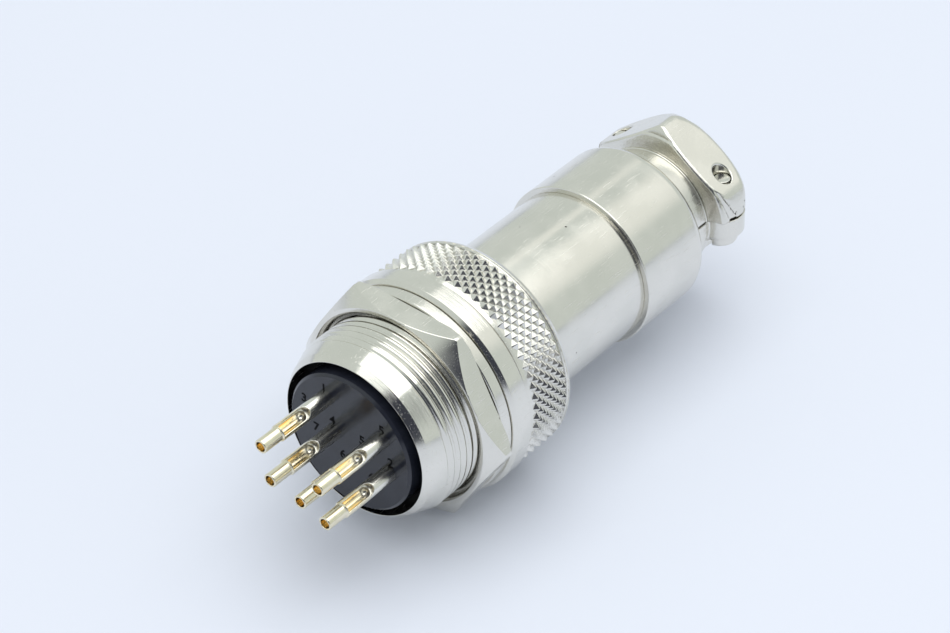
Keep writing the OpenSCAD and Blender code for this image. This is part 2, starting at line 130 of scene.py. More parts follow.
def ramp(tree, value, low, high, out_low=0.0, out_high=1.0, smooth=True):
    """Maps low..high to out_low..out_high and holds the ends."""
    node = add_node(tree, "ShaderNodeMapRange", {
        "Value": value, "From Min": low, "From Max": high, "To Min": out_low, "To Max": out_high,
    }, interpolation_type="SMOOTHSTEP" if smooth else "LINEAR")
    return node.outputs["Result"]


def mix_colour(tree, factor, a, b, blend="MIX"):
    node = tree.nodes.new("ShaderNodeMix")
    node.data_type = "RGBA"
    node.blend_type = blend
    for name, value in (("Factor", factor), ("A", a), ("B", b)):
        slot = next(s for s in node.inputs if s.name == name and s.type == ("VALUE" if name == "Factor" else "RGBA"))
        if isinstance(value, bpy.types.NodeSocket):
            link(tree, value, slot)
        else:
            slot.default_value = value if name == "Factor" else (*value, 1.0)
    return next(s for s in node.outputs if s.type == "RGBA")


# %% World and lamp
ROOM = (0.70, 0.755, 0.73)
GLOW = (1.0, 1.03, 0.99)
SHADE = (0.055, 0.06, 0.08)
BACKDROP = (0.80, 0.875, 0.975)


def facing(tree, direction, axis, inner, outer):
    """1 within inner degrees of an axis, 0 beyond outer degrees."""
    length = math.sqrt(sum(a * a for a in axis))
    node = add_node(tree, "ShaderNodeVectorMath", {0: direction}, operation="DOT_PRODUCT")
    node.inputs[1].default_value = [a / length for a in axis]
    return ramp(tree, node.outputs["Value"], math.cos(math.radians(outer)), math.cos(math.radians(inner)))


def make_world():
    world = bpy.data.worlds.new("studio")
    bpy.context.scene.world = world
    world.use_nodes = True
    tree = world.node_tree
    tree.nodes.clear()
    direction = add_node(tree, "ShaderNodeTexCoord").outputs["Generated"]
    colour = mix_colour(tree, facing(tree, direction, (0.60, -0.33, 0.73), 4, 26), ROOM, GLOW)
    colour = mix_colour(tree, facing(tree, direction, (0.62, 0.33, 0.71), 1.5, 6), colour, GLOW)
    colour = mix_colour(tree, facing(tree, direction, (-0.66, -0.62, 0.42), 27, 39), colour, SHADE)
    path = add_node(tree, "ShaderNodeLightPath").outputs
    room = add_node(tree, "ShaderNodeBackground", {"Color": colour, "Strength": 1.0})
    plain = add_node(tree, "ShaderNodeBackground", {"Color": (0.97, 0.985, 1.0, 1.0), "Strength": 0.72})
    backdrop = add_node(tree, "ShaderNodeBackground", {"Color": (*BACKDROP, 1.0), "Strength": 1.0})
    shiny = math_node(tree, "MAXIMUM", path["Is Glossy Ray"], path["Is Transmission Ray"])
    first = add_node(tree, "ShaderNodeMixShader", {0: shiny, 1: plain.outputs[0], 2: room.outputs[0]})
    last = add_node(tree, "ShaderNodeMixShader", {
        0: path["Is Camera Ray"], 1: first.outputs[0], 2: backdrop.outputs[0]})
    output = tree.nodes.new("ShaderNodeOutputWorld")
    link(tree, last.outputs[0], output.inputs["Surface"])


def make_lamp(name, size_x, size_y, place, radiance):
    data = bpy.data.lights.new(name, "AREA")
    data.shape = "RECTANGLE"
    data.size, data.size_y = size_x, size_y
    data.energy = radiance * math.pi * size_x * size_y
    lamp = bpy.data.objects.new(name, data)
    lamp.location = place
    lamp.visible_camera = False
    bpy.context.scene.collection.objects.link(lamp)


make_world()
make_lamp("overhead_lamp", 0.38, 0.33, (0.025, -0.008, 0.30), 1.45)


# %% Floor
def make_floor():
    material = bpy.data.materials.new("pale_floor")
    material.use_nodes = True
    tree = material.node_tree
    shader = tree.nodes["Principled BSDF"]
    place = add_node(tree, "ShaderNodeTexCoord").outputs["Object"]
    cloud = add_node(tree, "ShaderNodeTexNoise", {"Vector": place, "Scale": 9.0, "Detail": 2.0})
    colour = mix_colour(tree, ramp(tree, cloud.outputs["Fac"], 0.3, 0.7), (0.735, 0.78, 0.865), (0.755, 0.80, 0.885))
    link(tree, colour, shader.inputs["Base Color"])
    shader.inputs["Roughness"].default_value = 0.55
    shader.inputs["Specular IOR Level"].default_value = 0.1
    grain = add_node(tree, "ShaderNodeTexNoise", {"Vector": place, "Scale": 6000.0, "Detail": 2.0})
    bump = add_node(tree, "ShaderNodeBump", {"Height": grain.outputs["Fac"], "Strength": 0.05, "Distance": 1e-5})
    link(tree, bump.outputs["Normal"], shader.inputs["Normal"])
    half, z = 3.0, cad_box[0][2] - 0.00002
    mesh = bpy.data.meshes.new("floor")
    mesh.from_pydata([(-half, -half, z), (half, -half, z), (half, half, z), (-half, half, z)], [], [(0, 1, 2, 3)])
    mesh.materials.append(material)
    floor = bpy.data.objects.new("floor", mesh)
    bpy.context.scene.collection.objects.link(floor)


make_floor()
print("floor at", round(cad_box[0][2] / MM, 2), "mm")

# %% [markdown]
# ## Finishes
# Nickel plate is a warm grey mirror that handling has dulled a little. Three things break it up: rings that
# the lathe left round the axis, short hair scratches, and a few dark pits. All are noise patterns on Object
# coordinates, so they sit still on each piece. Gold plate covers the solder cups and thins out on the shanks.
# The insert is a glossy black moulding, and its raised numbers are duller.


# %% Metal finishes
def lathe_place(tree):
    """Object place in millimetres, and the same with x plus radius squeezed into rings round the axis."""
    place = add_node(tree, "ShaderNodeTexCoord").outputs["Object"]
    scaled = add_node(tree, "ShaderNodeVectorMath", {0: place}, operation="SCALE")
    scaled.inputs["Scale"].default_value = 1000.0
    part = add_node(tree, "ShaderNodeSeparateXYZ", {0: scaled.outputs[0]}).outputs
    square = math_node(tree, "ADD", math_node(tree, "MULTIPLY", part[1], part[1]),
                       math_node(tree, "MULTIPLY", part[2], part[2]))
    radius = math_node(tree, "SQRT", square)
    along = math_node(tree, "ADD", part[0], radius)
    ringed = add_node(tree, "ShaderNodeCombineXYZ", {
        0: math_node(tree, "MULTIPLY", along, 22.0),
        1: math_node(tree, "MULTIPLY", part[1], 0.07),
        2: math_node(tree, "MULTIPLY", part[2], 0.07)})
    return scaled.outputs[0], part, ringed.outputs[0]


def hair_scratches(tree, place, turn, stretch, edge):
    """Thin streaks: a noise drawn out along one direction, of which only the peaks are kept."""
    mapping = add_node(tree, "ShaderNodeMapping", {
        "Vector": place, "Rotation": [math.radians(a) for a in turn], "Scale": stretch})
    noise = add_node(tree, "ShaderNodeTexNoise", {"Vector": mapping.outputs[0], "Scale": 1.0, "Detail": 1.0})
    return ramp(tree, noise.outputs["Fac"], edge, edge + 0.045)


def plated(name, colour, dark, roughness, rings, scratches, pits, grain=0.0, grain_size=7.0):
    """A plated metal: colour and its darker patches, and how strong each kind of wear is."""
    material = bpy.data.materials.new(name)
    material.use_nodes = True
    tree = material.node_tree
    shader = tree.nodes["Principled BSDF"]
    shader.inputs["Metallic"].default_value = 1.0
    place, part, ringed = lathe_place(tree)
    cloud = add_node(tree, "ShaderNodeTexNoise", {"Vector": place, "Scale": 0.35, "Detail": 3.0}).outputs["Fac"]
    turning = add_node(tree, "ShaderNodeTexNoise", {"Vector": ringed, "Scale": 1.0, "Detail": 2.0}).outputs["Fac"]
    streak_a = hair_scratches(tree, place, (25, 10, 35), (0.5, 11.0, 11.0), 0.70)
    streak_b = hair_scratches(tree, place, (-40, 15, -30), (0.6, 14.0, 14.0), 0.72)
    streaks = math_node(tree, "MAXIMUM", streak_a, streak_b)
    spots = add_node(tree, "ShaderNodeTexVoronoi", {"Vector": place, "Scale": 0.9}, feature="F1")
    chance = add_node(tree, "ShaderNodeSeparateColor", {0: spots.outputs["Color"]}).outputs
    rare = math_node(tree, "GREATER_THAN", chance[0], 0.88)
    dot_size = math_node(tree, "MULTIPLY", chance[1], 0.08)
    dot = math_node(tree, "LESS_THAN", spots.outputs["Distance"], dot_size)
    pit = math_node(tree, "MULTIPLY", math_node(tree, "MULTIPLY", dot, rare), pits)
    tint = mix_colour(tree, ramp(tree, cloud, 0.35, 0.65), dark, colour)
    tint = mix_colour(tree, pit, tint, (0.10, 0.09, 0.08))
    link(tree, tint, shader.inputs["Base Color"])
    rough = math_node(tree, "ADD", roughness, math_node(tree, "MULTIPLY", streaks, 0.22 * scratches))
    rough = math_node(tree, "ADD", rough, ramp(tree, cloud, 0.3, 0.7, -0.03, 0.05))
    rough = math_node(tree, "ADD", rough, math_node(tree, "MULTIPLY", pit, 0.3))
    link(tree, rough, shader.inputs["Roughness"])
    height = math_node(tree, "MULTIPLY", turning, rings)
    height = math_node(tree, "SUBTRACT", height, math_node(tree, "MULTIPLY", streaks, 0.5 * scratches))
    height = math_node(tree, "SUBTRACT", height, math_node(tree, "MULTIPLY", pit, 2.0))
    if grain:
        speckle = add_node(tree, "ShaderNodeTexNoise", {"Vector": place, "Scale": grain_size, "Detail": 3.0})
        height = math_node(tree, "ADD", height, math_node(tree, "MULTIPLY", speckle.outputs["Fac"], grain))
    bump = add_node(tree, "ShaderNodeBump", {"Height": height, "Strength": 1.0, "Distance": 4e-6})
    link(tree, bump.outputs["Normal"], shader.inputs["Normal"])
    return material, tree, shader, part


NICKEL = (0.775, 0.755, 0.70)
NICKEL_DULL = (0.735, 0.72, 0.665)
bright_nickel = plated("bright_nickel", NICKEL, NICKEL_DULL, 0.17, 0.5, 1.0, 1.0)[0]
turned_nickel = plated("turned_nickel", NICKEL, NICKEL_DULL, 0.11, 1.4, 1.2, 0.4, 0.6, 1.6)[0]
cast_nickel = plated("cast_nickel", NICKEL, NICKEL_DULL, 0.20, 0.0, 0.8, 1.0, 3.5, 3.2)[0]
knurl_nickel = plated("knurl_nickel", (0.80, 0.785, 0.74), (0.74, 0.725, 0.68), 0.22, 0.0, 0.3, 0.3, 1.2, 9.0)[0]


def make_gold(name, colour, dark, roughness):
    """A gold finish on the cups that gives way to bare silvery plate on the shanks."""
    material, tree, shader, part = plated(name, colour, dark, roughness, 0.4, 0.6, 0.5, 1.5, 5.0)
    tint = shader.inputs["Base Color"].links[0].from_socket
    wear = add_node(tree, "ShaderNodeTexNoise", {"Vector": part_vector(tree, part), "Scale": 1.3, "Detail": 3.0})
    line = math_node(tree, "ADD", part[0], math_node(tree, "MULTIPLY", wear.outputs["Fac"], 1.6))
    bare = ramp(tree, line, -11.6, -10.4)
    link(tree, mix_colour(tree, bare, tint, (0.78, 0.76, 0.70)), shader.inputs["Base Color"])
    return material


def part_vector(tree, part):
    return add_node(tree, "ShaderNodeCombineXYZ", {0: part[0], 1: part[1], 2: part[2]}).outputs[0]


gold_plate = make_gold("gold_plate", (0.86, 0.80, 0.64), (0.80, 0.74, 0.56), 0.20)
deep_gold = make_gold("deep_gold", (0.95, 0.83, 0.58), (0.92, 0.75, 0.44), 0.18)


# %% Moulded plastic
def moulded(name, low, high, roughness, bumpiness):
    material = bpy.data.materials.new(name)
    material.use_nodes = True
    tree = material.node_tree
    shader = tree.nodes["Principled BSDF"]
    place, _, _ = lathe_place(tree)
    cloud = add_node(tree, "ShaderNodeTexNoise", {"Vector": place, "Scale": 0.6, "Detail": 3.0}).outputs["Fac"]
    link(tree, mix_colour(tree, ramp(tree, cloud, 0.35, 0.65), low, high), shader.inputs["Base Color"])
    link(tree, ramp(tree, cloud, 0.3, 0.7, roughness - 0.05, roughness + 0.06), shader.inputs["Roughness"])
    grain = add_node(tree, "ShaderNodeTexNoise", {"Vector": place, "Scale": 9.0, "Detail": 2.0}).outputs["Fac"]
    bump = add_node(tree, "ShaderNodeBump", {"Height": grain, "Strength": bumpiness, "Distance": 3e-6})
    link(tree, bump.outputs["Normal"], shader.inputs["Normal"])
    return material


black_insert = moulded("black_insert", (0.012, 0.014, 0.022), (0.018, 0.021, 0.031), 0.20, 0.5)
dull_black = moulded("dull_black", (0.001, 0.001, 0.0015), (0.003, 0.003, 0.004), 0.5, 1.0)
dull_black.node_tree.nodes["Principled BSDF"].inputs["Specular IOR Level"].default_value = 0.05
print("finishes", [m.name for m in bpy.data.materials])

# %% [markdown]
# ## Tools for turned pieces
# A turned piece is an outline in x and radius, swept round the axis. Light catches a real edge because it is
# never quite sharp, so each corner of an outline gets a small radius. The shading then follows the wide
# faces, and only the narrow rounding bends.


# %% Outline and turning
def rounded(outline, steps=3):
    """A closed outline of [x, r, corner radius], with its corners as arcs."""
    out = []
    count = len(outline)
    for k, (x, r, radius) in enumerate(outline):
        here = np.array([x, r], float)
        if radius <= 0:
            out.append(here)
            continue
        before = np.array(outline[k - 1][:2]) - here
        after = np.array(outline[(k + 1) % count][:2]) - here
        len_a, len_b = np.linalg.norm(before), np.linalg.norm(after)
        before, after = before / len_a, after / len_b
        half = math.acos(np.clip(before @ after, -1, 1)) / 2
        reach = min(radius / math.tan(half), 0.45 * len_a, 0.45 * len_b)
        size = reach * math.tan(half)
        middle = (before + after) / np.linalg.norm(before + after)
        centre = here + middle * size / math.sin(half)
        start, end = here + before * reach - centre, here + after * reach - centre
        for t in np.linspace(0, 1, steps + 1):
            spoke = start * (1 - t) + end * t
            out.append(centre + spoke * size / np.linalg.norm(spoke))
    return np.array(out)


def turned(outline, segments=288):
    """Points and quads of an outline [x, r] swept about X. An outline may also give r for each segment."""
    outline = np.asarray(outline, float)
    angle = np.linspace(0, 2 * math.pi, segments, endpoint=False)
    if outline.ndim == 2:
        outline = np.repeat(outline[:, None, :], segments, axis=1)
    x, r = outline[..., 0], outline[..., 1]
    points = np.stack([x, r * np.cos(angle), r * np.sin(angle)], -1).reshape(-1, 3)
    rows = len(outline)
    i, j = np.arange(rows)[:, None], np.arange(segments)[None]
    nxt, beside = (i + 1) % rows, (j + 1) % segments
    quads = np.stack([i * segments + j, i * segments + beside, nxt * segments + beside, nxt * segments + j], -1)
    return points, quads.reshape(-1, 4)


def soften(mesh):
    """Smooth shading in which the wide faces keep their own direction."""
    count = len(mesh.polygons)
    normal, area = np.empty(count * 3), np.empty(count)
    total, corner = np.empty(count, np.int32), np.empty(len(mesh.loops), np.int32)
    mesh.polygons.foreach_get("normal", normal)
    mesh.polygons.foreach_get("area", area)
    mesh.polygons.foreach_get("loop_total", total)
    mesh.loops.foreach_get("vertex_index", corner)
    weighted = np.repeat(normal.reshape(-1, 3) * area[:, None], total, axis=0)
    out = np.zeros((len(mesh.vertices), 3))
    np.add.at(out, corner, weighted)
    set_normals(mesh, out)


def set_normals(mesh, normals):
    length = np.maximum(np.linalg.norm(normals, axis=1, keepdims=True), 1e-20)
    mesh.polygons.foreach_set("use_smooth", np.ones(len(mesh.polygons), bool))
    mesh.normals_split_custom_set_from_vertices((normals / length).tolist())


def solid_mesh(name, points, quads, material, normals=None):
    """A closed mesh in metres with its faces outwards and its poles merged."""
    corner = points[quads]
    volume = np.einsum("ij,ij->i", corner[:, 0], np.cross(corner[:, 1], corner[:, 2])).sum()
    volume += np.einsum("ij,ij->i", corner[:, 0], np.cross(corner[:, 2], corner[:, 3])).sum()
    if volume < 0:
        quads = quads[:, ::-1]
    mesh = bpy.data.meshes.new(name)
    mesh.from_pydata((points * MM).tolist(), [], quads.tolist())
    mesh.materials.append(material)
    if normals is not None:
        set_normals(mesh, normals)
        return mesh
    if np.hypot(points[:, 1], points[:, 2]).min() < 1e-6:
        work = bmesh.new()
        work.from_mesh(mesh)
        bmesh.ops.remove_doubles(work, verts=work.verts, dist=1e-8)
        work.to_mesh(mesh)
        work.free()
    soften(mesh)
    return mesh


def place_piece(mesh, body, slot, *replaced):
    """Makes a mesh a piece that rides on a body and stands for the named nodes."""
    piece = bpy.data.objects.new(mesh.name, mesh)
    bpy.context.scene.collection.objects.link(piece)
    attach(piece, body)
    if replaced:
        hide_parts(*replaced)
    print(mesh.name, "faces", len(mesh.polygons), "on", body)
    return piece


# %% [markdown]
# ## Receptacle shell
# The nose starts with a thin rim and a narrow steep band, then a long cone that leads into a fine thread of
# 0.75 mm pitch. Behind the flange a second thread takes the coupling ring. Both threads follow one rule, so
# Geometry Nodes cut them: each point of the fine outer skin moves inwards by a groove whose place depends on
# x and on the angle round the axis.

# %% Thread cutter
THREAD_R = 8.0
THREAD_PITCH = 0.75
THREAD_DEPTH = 0.28


def group_input(tree, name, kind, value=None):
    """A named input of a tree, and the identifier that a modifier sets it by."""
    socket = tree.interface.new_socket(name=name, in_out="INPUT", socket_type=kind)
    if value is not None:
        socket.default_value = value
    return socket.identifier


def make_thread_tree():
    tree = bpy.data.node_groups.new("cut_thread", "GeometryNodeTree")
    ids = {"Geometry": group_input(tree, "Geometry", "NodeSocketGeometry")}
    for name, value in (("Pitch", THREAD_PITCH), ("Depth", THREAD_DEPTH), ("Radius", THREAD_R),
                        ("Start", 0.0), ("End", 1.0)):
        ids[name] = group_input(tree, name, "NodeSocketFloat", value)
    ids["Material"] = group_input(tree, "Material", "NodeSocketMaterial")
    tree.interface.new_socket(name="Geometry", in_out="OUTPUT", socket_type="NodeSocketGeometry")
    given = tree.nodes.new("NodeGroupInput").outputs
    place = add_node(tree, "ShaderNodeVectorMath", {0: tree.nodes.new("GeometryNodeInputPosition").outputs[0]},
                     operation="SCALE")
    place.inputs["Scale"].default_value = 1000.0
    part = add_node(tree, "ShaderNodeSeparateXYZ", {0: place.outputs[0]}).outputs
    square = math_node(tree, "ADD", math_node(tree, "MULTIPLY", part[1], part[1]),
                       math_node(tree, "MULTIPLY", part[2], part[2]))
    radius = math_node(tree, "SQRT", square)
    turn = math_node(tree, "DIVIDE", math_node(tree, "ARCTAN2", part[2], part[1]), 2 * math.pi)
    phase = math_node(tree, "FRACT", math_node(tree, "SUBTRACT", math_node(
        tree, "DIVIDE", part[0], given["Pitch"]), turn))
    valley = math_node(tree, "SUBTRACT", 1.0, math_node(
        tree, "MULTIPLY", math_node(tree, "ABSOLUTE", math_node(tree, "SUBTRACT", phase, 0.5)), 2.0))
    groove = math_node(tree, "MULTIPLY", ramp(tree, valley, 0.2, 0.95, smooth=True), given["Depth"])
    fade_in = ramp(tree, math_node(tree, "SUBTRACT", part[0], given["Start"]), 0.0, 0.5)
    fade_out = ramp(tree, math_node(tree, "SUBTRACT", given["End"], part[0]), 0.0, 0.4)
    cut = math_node(tree, "MULTIPLY", math_node(tree, "MULTIPLY", groove, fade_in), fade_out)
    limit = math_node(tree, "SUBTRACT", given["Radius"], cut)
    inside = math_node(tree, "MULTIPLY", math_node(tree, "GREATER_THAN", part[0], given["Start"]),
                       math_node(tree, "LESS_THAN", part[0], given["End"]))
    wanted = math_node(tree, "MINIMUM", radius, limit)
    share = math_node(tree, "DIVIDE", wanted, math_node(tree, "MAXIMUM", radius, 0.001))
    share = math_node(tree, "ADD", 1.0, math_node(
        tree, "MULTIPLY", math_node(tree, "SUBTRACT", share, 1.0), inside))
    raw = add_node(tree, "ShaderNodeSeparateXYZ", {0: tree.nodes.new("GeometryNodeInputPosition").outputs[0]}).outputs
    moved = add_node(tree, "ShaderNodeCombineXYZ", {
        0: raw[0], 1: math_node(tree, "MULTIPLY", raw[1], share), 2: math_node(tree, "MULTIPLY", raw[2], share)})
    shift = add_node(tree, "GeometryNodeSetPosition", {"Geometry": given["Geometry"], "Position": moved.outputs[0]})
    whole = add_node(tree, "GeometryNodeRealizeInstances", {0: shift.outputs[0]})
    dressed = add_node(tree, "GeometryNodeSetMaterial", {"Geometry": whole.outputs[0], "Material": given["Material"]})
    out = tree.nodes.new("NodeGroupOutput")
    link(tree, dressed.outputs[0], out.inputs[0])
    return tree, ids


def run_tree(mesh, tree, ids, values):
    """The mesh that a Geometry Nodes tree makes of a mesh, as a plain mesh of its own."""
    carrier = bpy.data.objects.new("carrier", mesh)
    bpy.context.scene.collection.objects.link(carrier)
    modifier = carrier.modifiers.new("rule", "NODES")
    modifier.node_group = tree
    for name, value in values.items():
        modifier[ids[name]] = value
    seen = carrier.evaluated_get(bpy.context.evaluated_depsgraph_get())
    made = bpy.data.meshes.new_from_object(seen)
    carrier.modifiers.remove(modifier)
    bpy.data.objects.remove(carrier)
    made.name = mesh.name + "_made"
    return made


thread_tree, thread_ids = make_thread_tree()

# %% Shell
nose_x, mating_x, flange_r = span("receptacle_shell")
BORE_R = 6.89
SHOULDER = (-3.2, -2.4, 6.25)
FLANGE_T = 1.9
CLIP = (-6.5, -5.9, 0.35)


def fine(x0, x1, r0, r1, step=0.055):
    """Stations along a straight stretch, close enough together for a thread."""
    count = int(round(abs(x1 - x0) / step))
    return [(x0 + (x1 - x0) * k / count, r0 + (r1 - r0) * k / count, 0) for k in range(1, count)]


band_x, band_r = nose_x + 0.59, 7.34
cone_x = nose_x + 2.4
shell_outline = rounded([
    (nose_x, BORE_R, 0.02), (nose_x, BORE_R + 0.05, 0.02), (band_x, band_r, 0.05),
    *fine(band_x, cone_x, band_r, THREAD_R), (cone_x, THREAD_R, 0), *fine(cone_x, 0, THREAD_R, THREAD_R),
    (0, THREAD_R, 0), (0, flange_r - 0.3, 0.04), (0.3, flange_r, 0.06), (FLANGE_T, flange_r, 0.07),
    (FLANGE_T, THREAD_R, 0), *fine(FLANGE_T, mating_x - 0.4, THREAD_R, THREAD_R),
    (mating_x - 0.4, THREAD_R, 0.05), (mating_x, THREAD_R - 0.4, 0.05), (mating_x, BORE_R, 0.04),
    (SHOULDER[1], BORE_R, 0), (SHOULDER[1], SHOULDER[2], 0.03), (SHOULDER[0], SHOULDER[2], 0.03),
    (SHOULDER[0], BORE_R, 0), (CLIP[1], BORE_R, 0), (CLIP[1], BORE_R + CLIP[2], 0),
    (CLIP[0], BORE_R + CLIP[2], 0), (CLIP[0], BORE_R, 0),
])
shell_mesh = solid_mesh("receptacle_shell_turned", *turned(shell_outline), turned_nickel)
for start, end in ((cone_x - 0.9, -0.3), (FLANGE_T + 0.1, mating_x - 0.3)):
    shell_mesh = run_tree(shell_mesh, thread_tree, thread_ids, {
        "Pitch": THREAD_PITCH, "Depth": THREAD_DEPTH, "Radius": THREAD_R, "Start": start, "End": end,
        "Material": turned_nickel})
soften(shell_mesh)
shell_mesh.name = "threaded_shell"
place_piece(shell_mesh, "receptacle", "nickel_plate", "receptacle_shell")

# %% [markdown]
# ## Skinning shapes that were milled
# The clamp, the cups and the screws aren't purely turned. Each is described by a function that gives the
# distance to its surface, with unions and cuts whose edges have a stated radius, and is skinned by a net of
# small quads: one point in each cell that the surface crosses, moved onto the surface. The slope of the same
# function gives the shading, so the roundings look smooth.


# %% Distances and the net
def meet(a, b, r):
    """What lies in both shapes, with a rounded edge."""
    return np.minimum(-r, np.maximum(a, b)) + np.hypot(np.maximum(a + r, 0), np.maximum(b + r, 0))


def join(a, b, r):
    """What lies in either shape, with a fillet."""
    return np.maximum(r, np.minimum(a, b)) - np.hypot(np.maximum(r - a, 0), np.maximum(r - b, 0))


def to_outline(x, r, outline):
    """Distance in x and r to a closed outline, negative inside. Points past the axis keep poles open."""
    best = np.full(x.shape, np.inf)
    within = np.zeros(x.shape, bool)
    for (x0, r0), (x1, r1) in zip(outline, outline[1:] + outline[:1]):
        dx, dr = x1 - x0, r1 - r0
        t = np.clip(((x - x0) * dx + (r - r0) * dr) / (dx * dx + dr * dr), 0, 1)
        best = np.minimum(best, (x - x0 - t * dx) ** 2 + (r - r0 - t * dr) ** 2)
        if r0 != r1:
            within ^= ((r0 <= r) != (r1 <= r)) & (x < x0 + (r - r0) * dx / dr)
    return np.where(within, -1, 1) * np.sqrt(best)


def slope(field, points, h=0.004):
    out = np.empty_like(points)
    for axis in range(3):
        step = np.zeros(3)
        step[axis] = h
        out[:, axis] = (field(points + step) - field(points - step)) / (2 * h)
    return out


def skin(field, low, high, step):
    """Points, quads and normals of the surface where the field is zero."""
    axes = [np.arange(a, b + step, step) for a, b in zip(low, high)]
    grid = np.stack(np.meshgrid(*axes, indexing="ij"), -1)
    inside = (field(grid.reshape(-1, 3)) < 0).reshape(grid.shape[:3])
    near, far = slice(0, -1), slice(1, None)
    corners = np.stack([inside[a, b, c] for a in (near, far) for b in (near, far) for c in (near, far)])
    crossed = corners.any(0) & ~corners.all(0)
    number = np.full(crossed.shape, -1)
    number[crossed] = np.arange(crossed.sum())
    points = np.argwhere(crossed) * step + np.array(low) + step / 2
    for _ in range(4):
        normals = slope(field, points)
        steep = np.maximum((normals ** 2).sum(1), 0.2)
        points = points - np.clip(field(points) / steep, -step, step)[:, None] * normals
    quads = []
    for axis in range(3):
        first = inside.take(range(inside.shape[axis] - 1), axis)
        second = inside.take(range(1, inside.shape[axis]), axis)
        edges = np.argwhere(first != second)
        outward = first[tuple(edges.T)]
        ring = []
        for a, b in ((-1, -1), (0, -1), (0, 0), (-1, 0)):
            cell = edges.copy()
            cell[:, (axis + 1) % 3] += a
            cell[:, (axis + 2) % 3] += b
            ring.append(number[tuple(cell.T)])
        quad = np.stack(ring, 1)
        quad[~outward] = quad[~outward][:, ::-1]
        quads.append(quad)
    return points, np.concatenate(quads), slope(field, points)


def turn_about_x(points, degrees):
    a = math.radians(degrees)
    x, y, z = points.T
    return np.stack([x, y * math.cos(a) - z * math.sin(a), y * math.sin(a) + z * math.cos(a)], 1)


# %% [markdown]
# ## Panel nut and washer
# The nut is a hexagon whose corners were chamfered on the lathe, so its radius depends on the angle. It is
# turned like the rest, with a radius for each segment. The washer is a plain ring with softened edges.

# %% Nut and washer
nut_x0, nut_x1, _ = span("panel_nut")
NUT_FLAT = 9.0
HOLE_R = 8.06
NUT_SEGMENTS = 540


def nut_rows():
    angle = np.degrees(np.linspace(0, 2 * math.pi, NUT_SEGMENTS, endpoint=False))
    edge = NUT_FLAT / np.cos(np.radians(angle % 60 - 30))
    edge = np.minimum(edge, NUT_FLAT / math.cos(math.radians(30)) - 0.05)
    drop = math.tan(math.radians(40))
    face_r = NUT_FLAT - 0.04
    front = nut_x0 + np.maximum(edge - face_r, 0) * drop
    back = nut_x1 - np.maximum(edge - 9.79, 0) * 0.5
    ones = np.ones(NUT_SEGMENTS)
    soft = 0.05
    rows = [
        (ones * (nut_x0 + 0.55), ones * HOLE_R), (ones * (nut_x0 + 0.03), ones * (HOLE_R + 0.52)),
        (ones * nut_x0, ones * (HOLE_R + 0.58)), (ones * nut_x0, ones * (face_r - 0.05)),
        (ones * (nut_x0 + 0.01), ones * face_r),
        (front - soft * drop * (edge - face_r > 0.1), edge - soft * (edge - face_r > 0.1)),
        (front + soft, edge), (back - soft, edge), (back, edge - soft),
        (ones * nut_x1, np.minimum(edge, 9.79) - 2 * soft), (ones * nut_x1, ones * (HOLE_R + 0.35)),
        (ones * (nut_x1 - 0.3), ones * HOLE_R),
    ]
    return np.stack([np.stack(row, -1) for row in rows])


place_piece(solid_mesh("hexagon_nut", *turned(nut_rows(), NUT_SEGMENTS), bright_nickel),
            "nut", "nickel_plate", "panel_nut")
washer_x0, washer_x1, washer_r = span("flat_washer")
washer_outline = rounded([
    (washer_x0, HOLE_R, 0.05), (washer_x0, washer_r, 0.14), (washer_x1 - 0.04, washer_r, 0.08),
    (washer_x1 - 0.04, HOLE_R, 0.05)])
place_piece(solid_mesh("soft_edged_washer", *turned(washer_outline), bright_nickel),
            "washer", "nickel_plate", "flat_washer")

# %% [markdown]
# ## Coupling ring
# The ring is a turned core with a smooth land in front, a bevel behind and a diamond knurl between them. The
# knurl is one small pyramid, repeated in rows that are shifted by half a step. Geometry Nodes lay the
# pyramids out from four named sizes, which is quicker to change than a mesh.

# %% Knurl
ring_x0, ring_x1, ring_r = span("coupling_ring")
KNURL_COUNT = 60
KNURL_DEPTH = 0.36
KNURL_X0, KNURL_X1 = ring_x0 + 0.45, ring_x1 - 0.55
KNURL_HALF_ROWS = 10
half_row = (KNURL_X1 - KNURL_X0) / KNURL_HALF_ROWS


def pyramid_mesh():
    """One knurl point on the XY plane: a four-sided pyramid with worn edges and a blunt tip."""
    long_half = half_row
    wide_half = math.pi * ring_r / KNURL_COUNT
    worn = 0.13
    levels = ((1.02, -0.06), (0.97, 0.0), (worn, 0.93), (worn * 0.35, 1.0))
    points, quads = [], []
    for size, height in levels:
        for sx, sy in ((1, 0), (0, 1), (-1, 0), (0, -1)):
            side = 0.08 * size + 0.03
            for s in (-1, 1):
                along = (sx * size - s * sy * side, sy * size + s * sx * side)
                points.append((along[0] * long_half, along[1] * wide_half, height * KNURL_DEPTH))
    for level in range(len(levels) - 1):
        for k in range(8):
            a, b = level * 8 + k, level * 8 + (k + 1) % 8
            quads.append((a, b, b + 8, a + 8))
    top = (len(levels) - 1) * 8
    faces = quads + [tuple(range(top, top + 8)), tuple(range(7, -1, -1))]
    mesh = bpy.data.meshes.new("knurl_point")
    mesh.from_pydata([[c * MM for c in p] for p in points], [], faces)
    return mesh


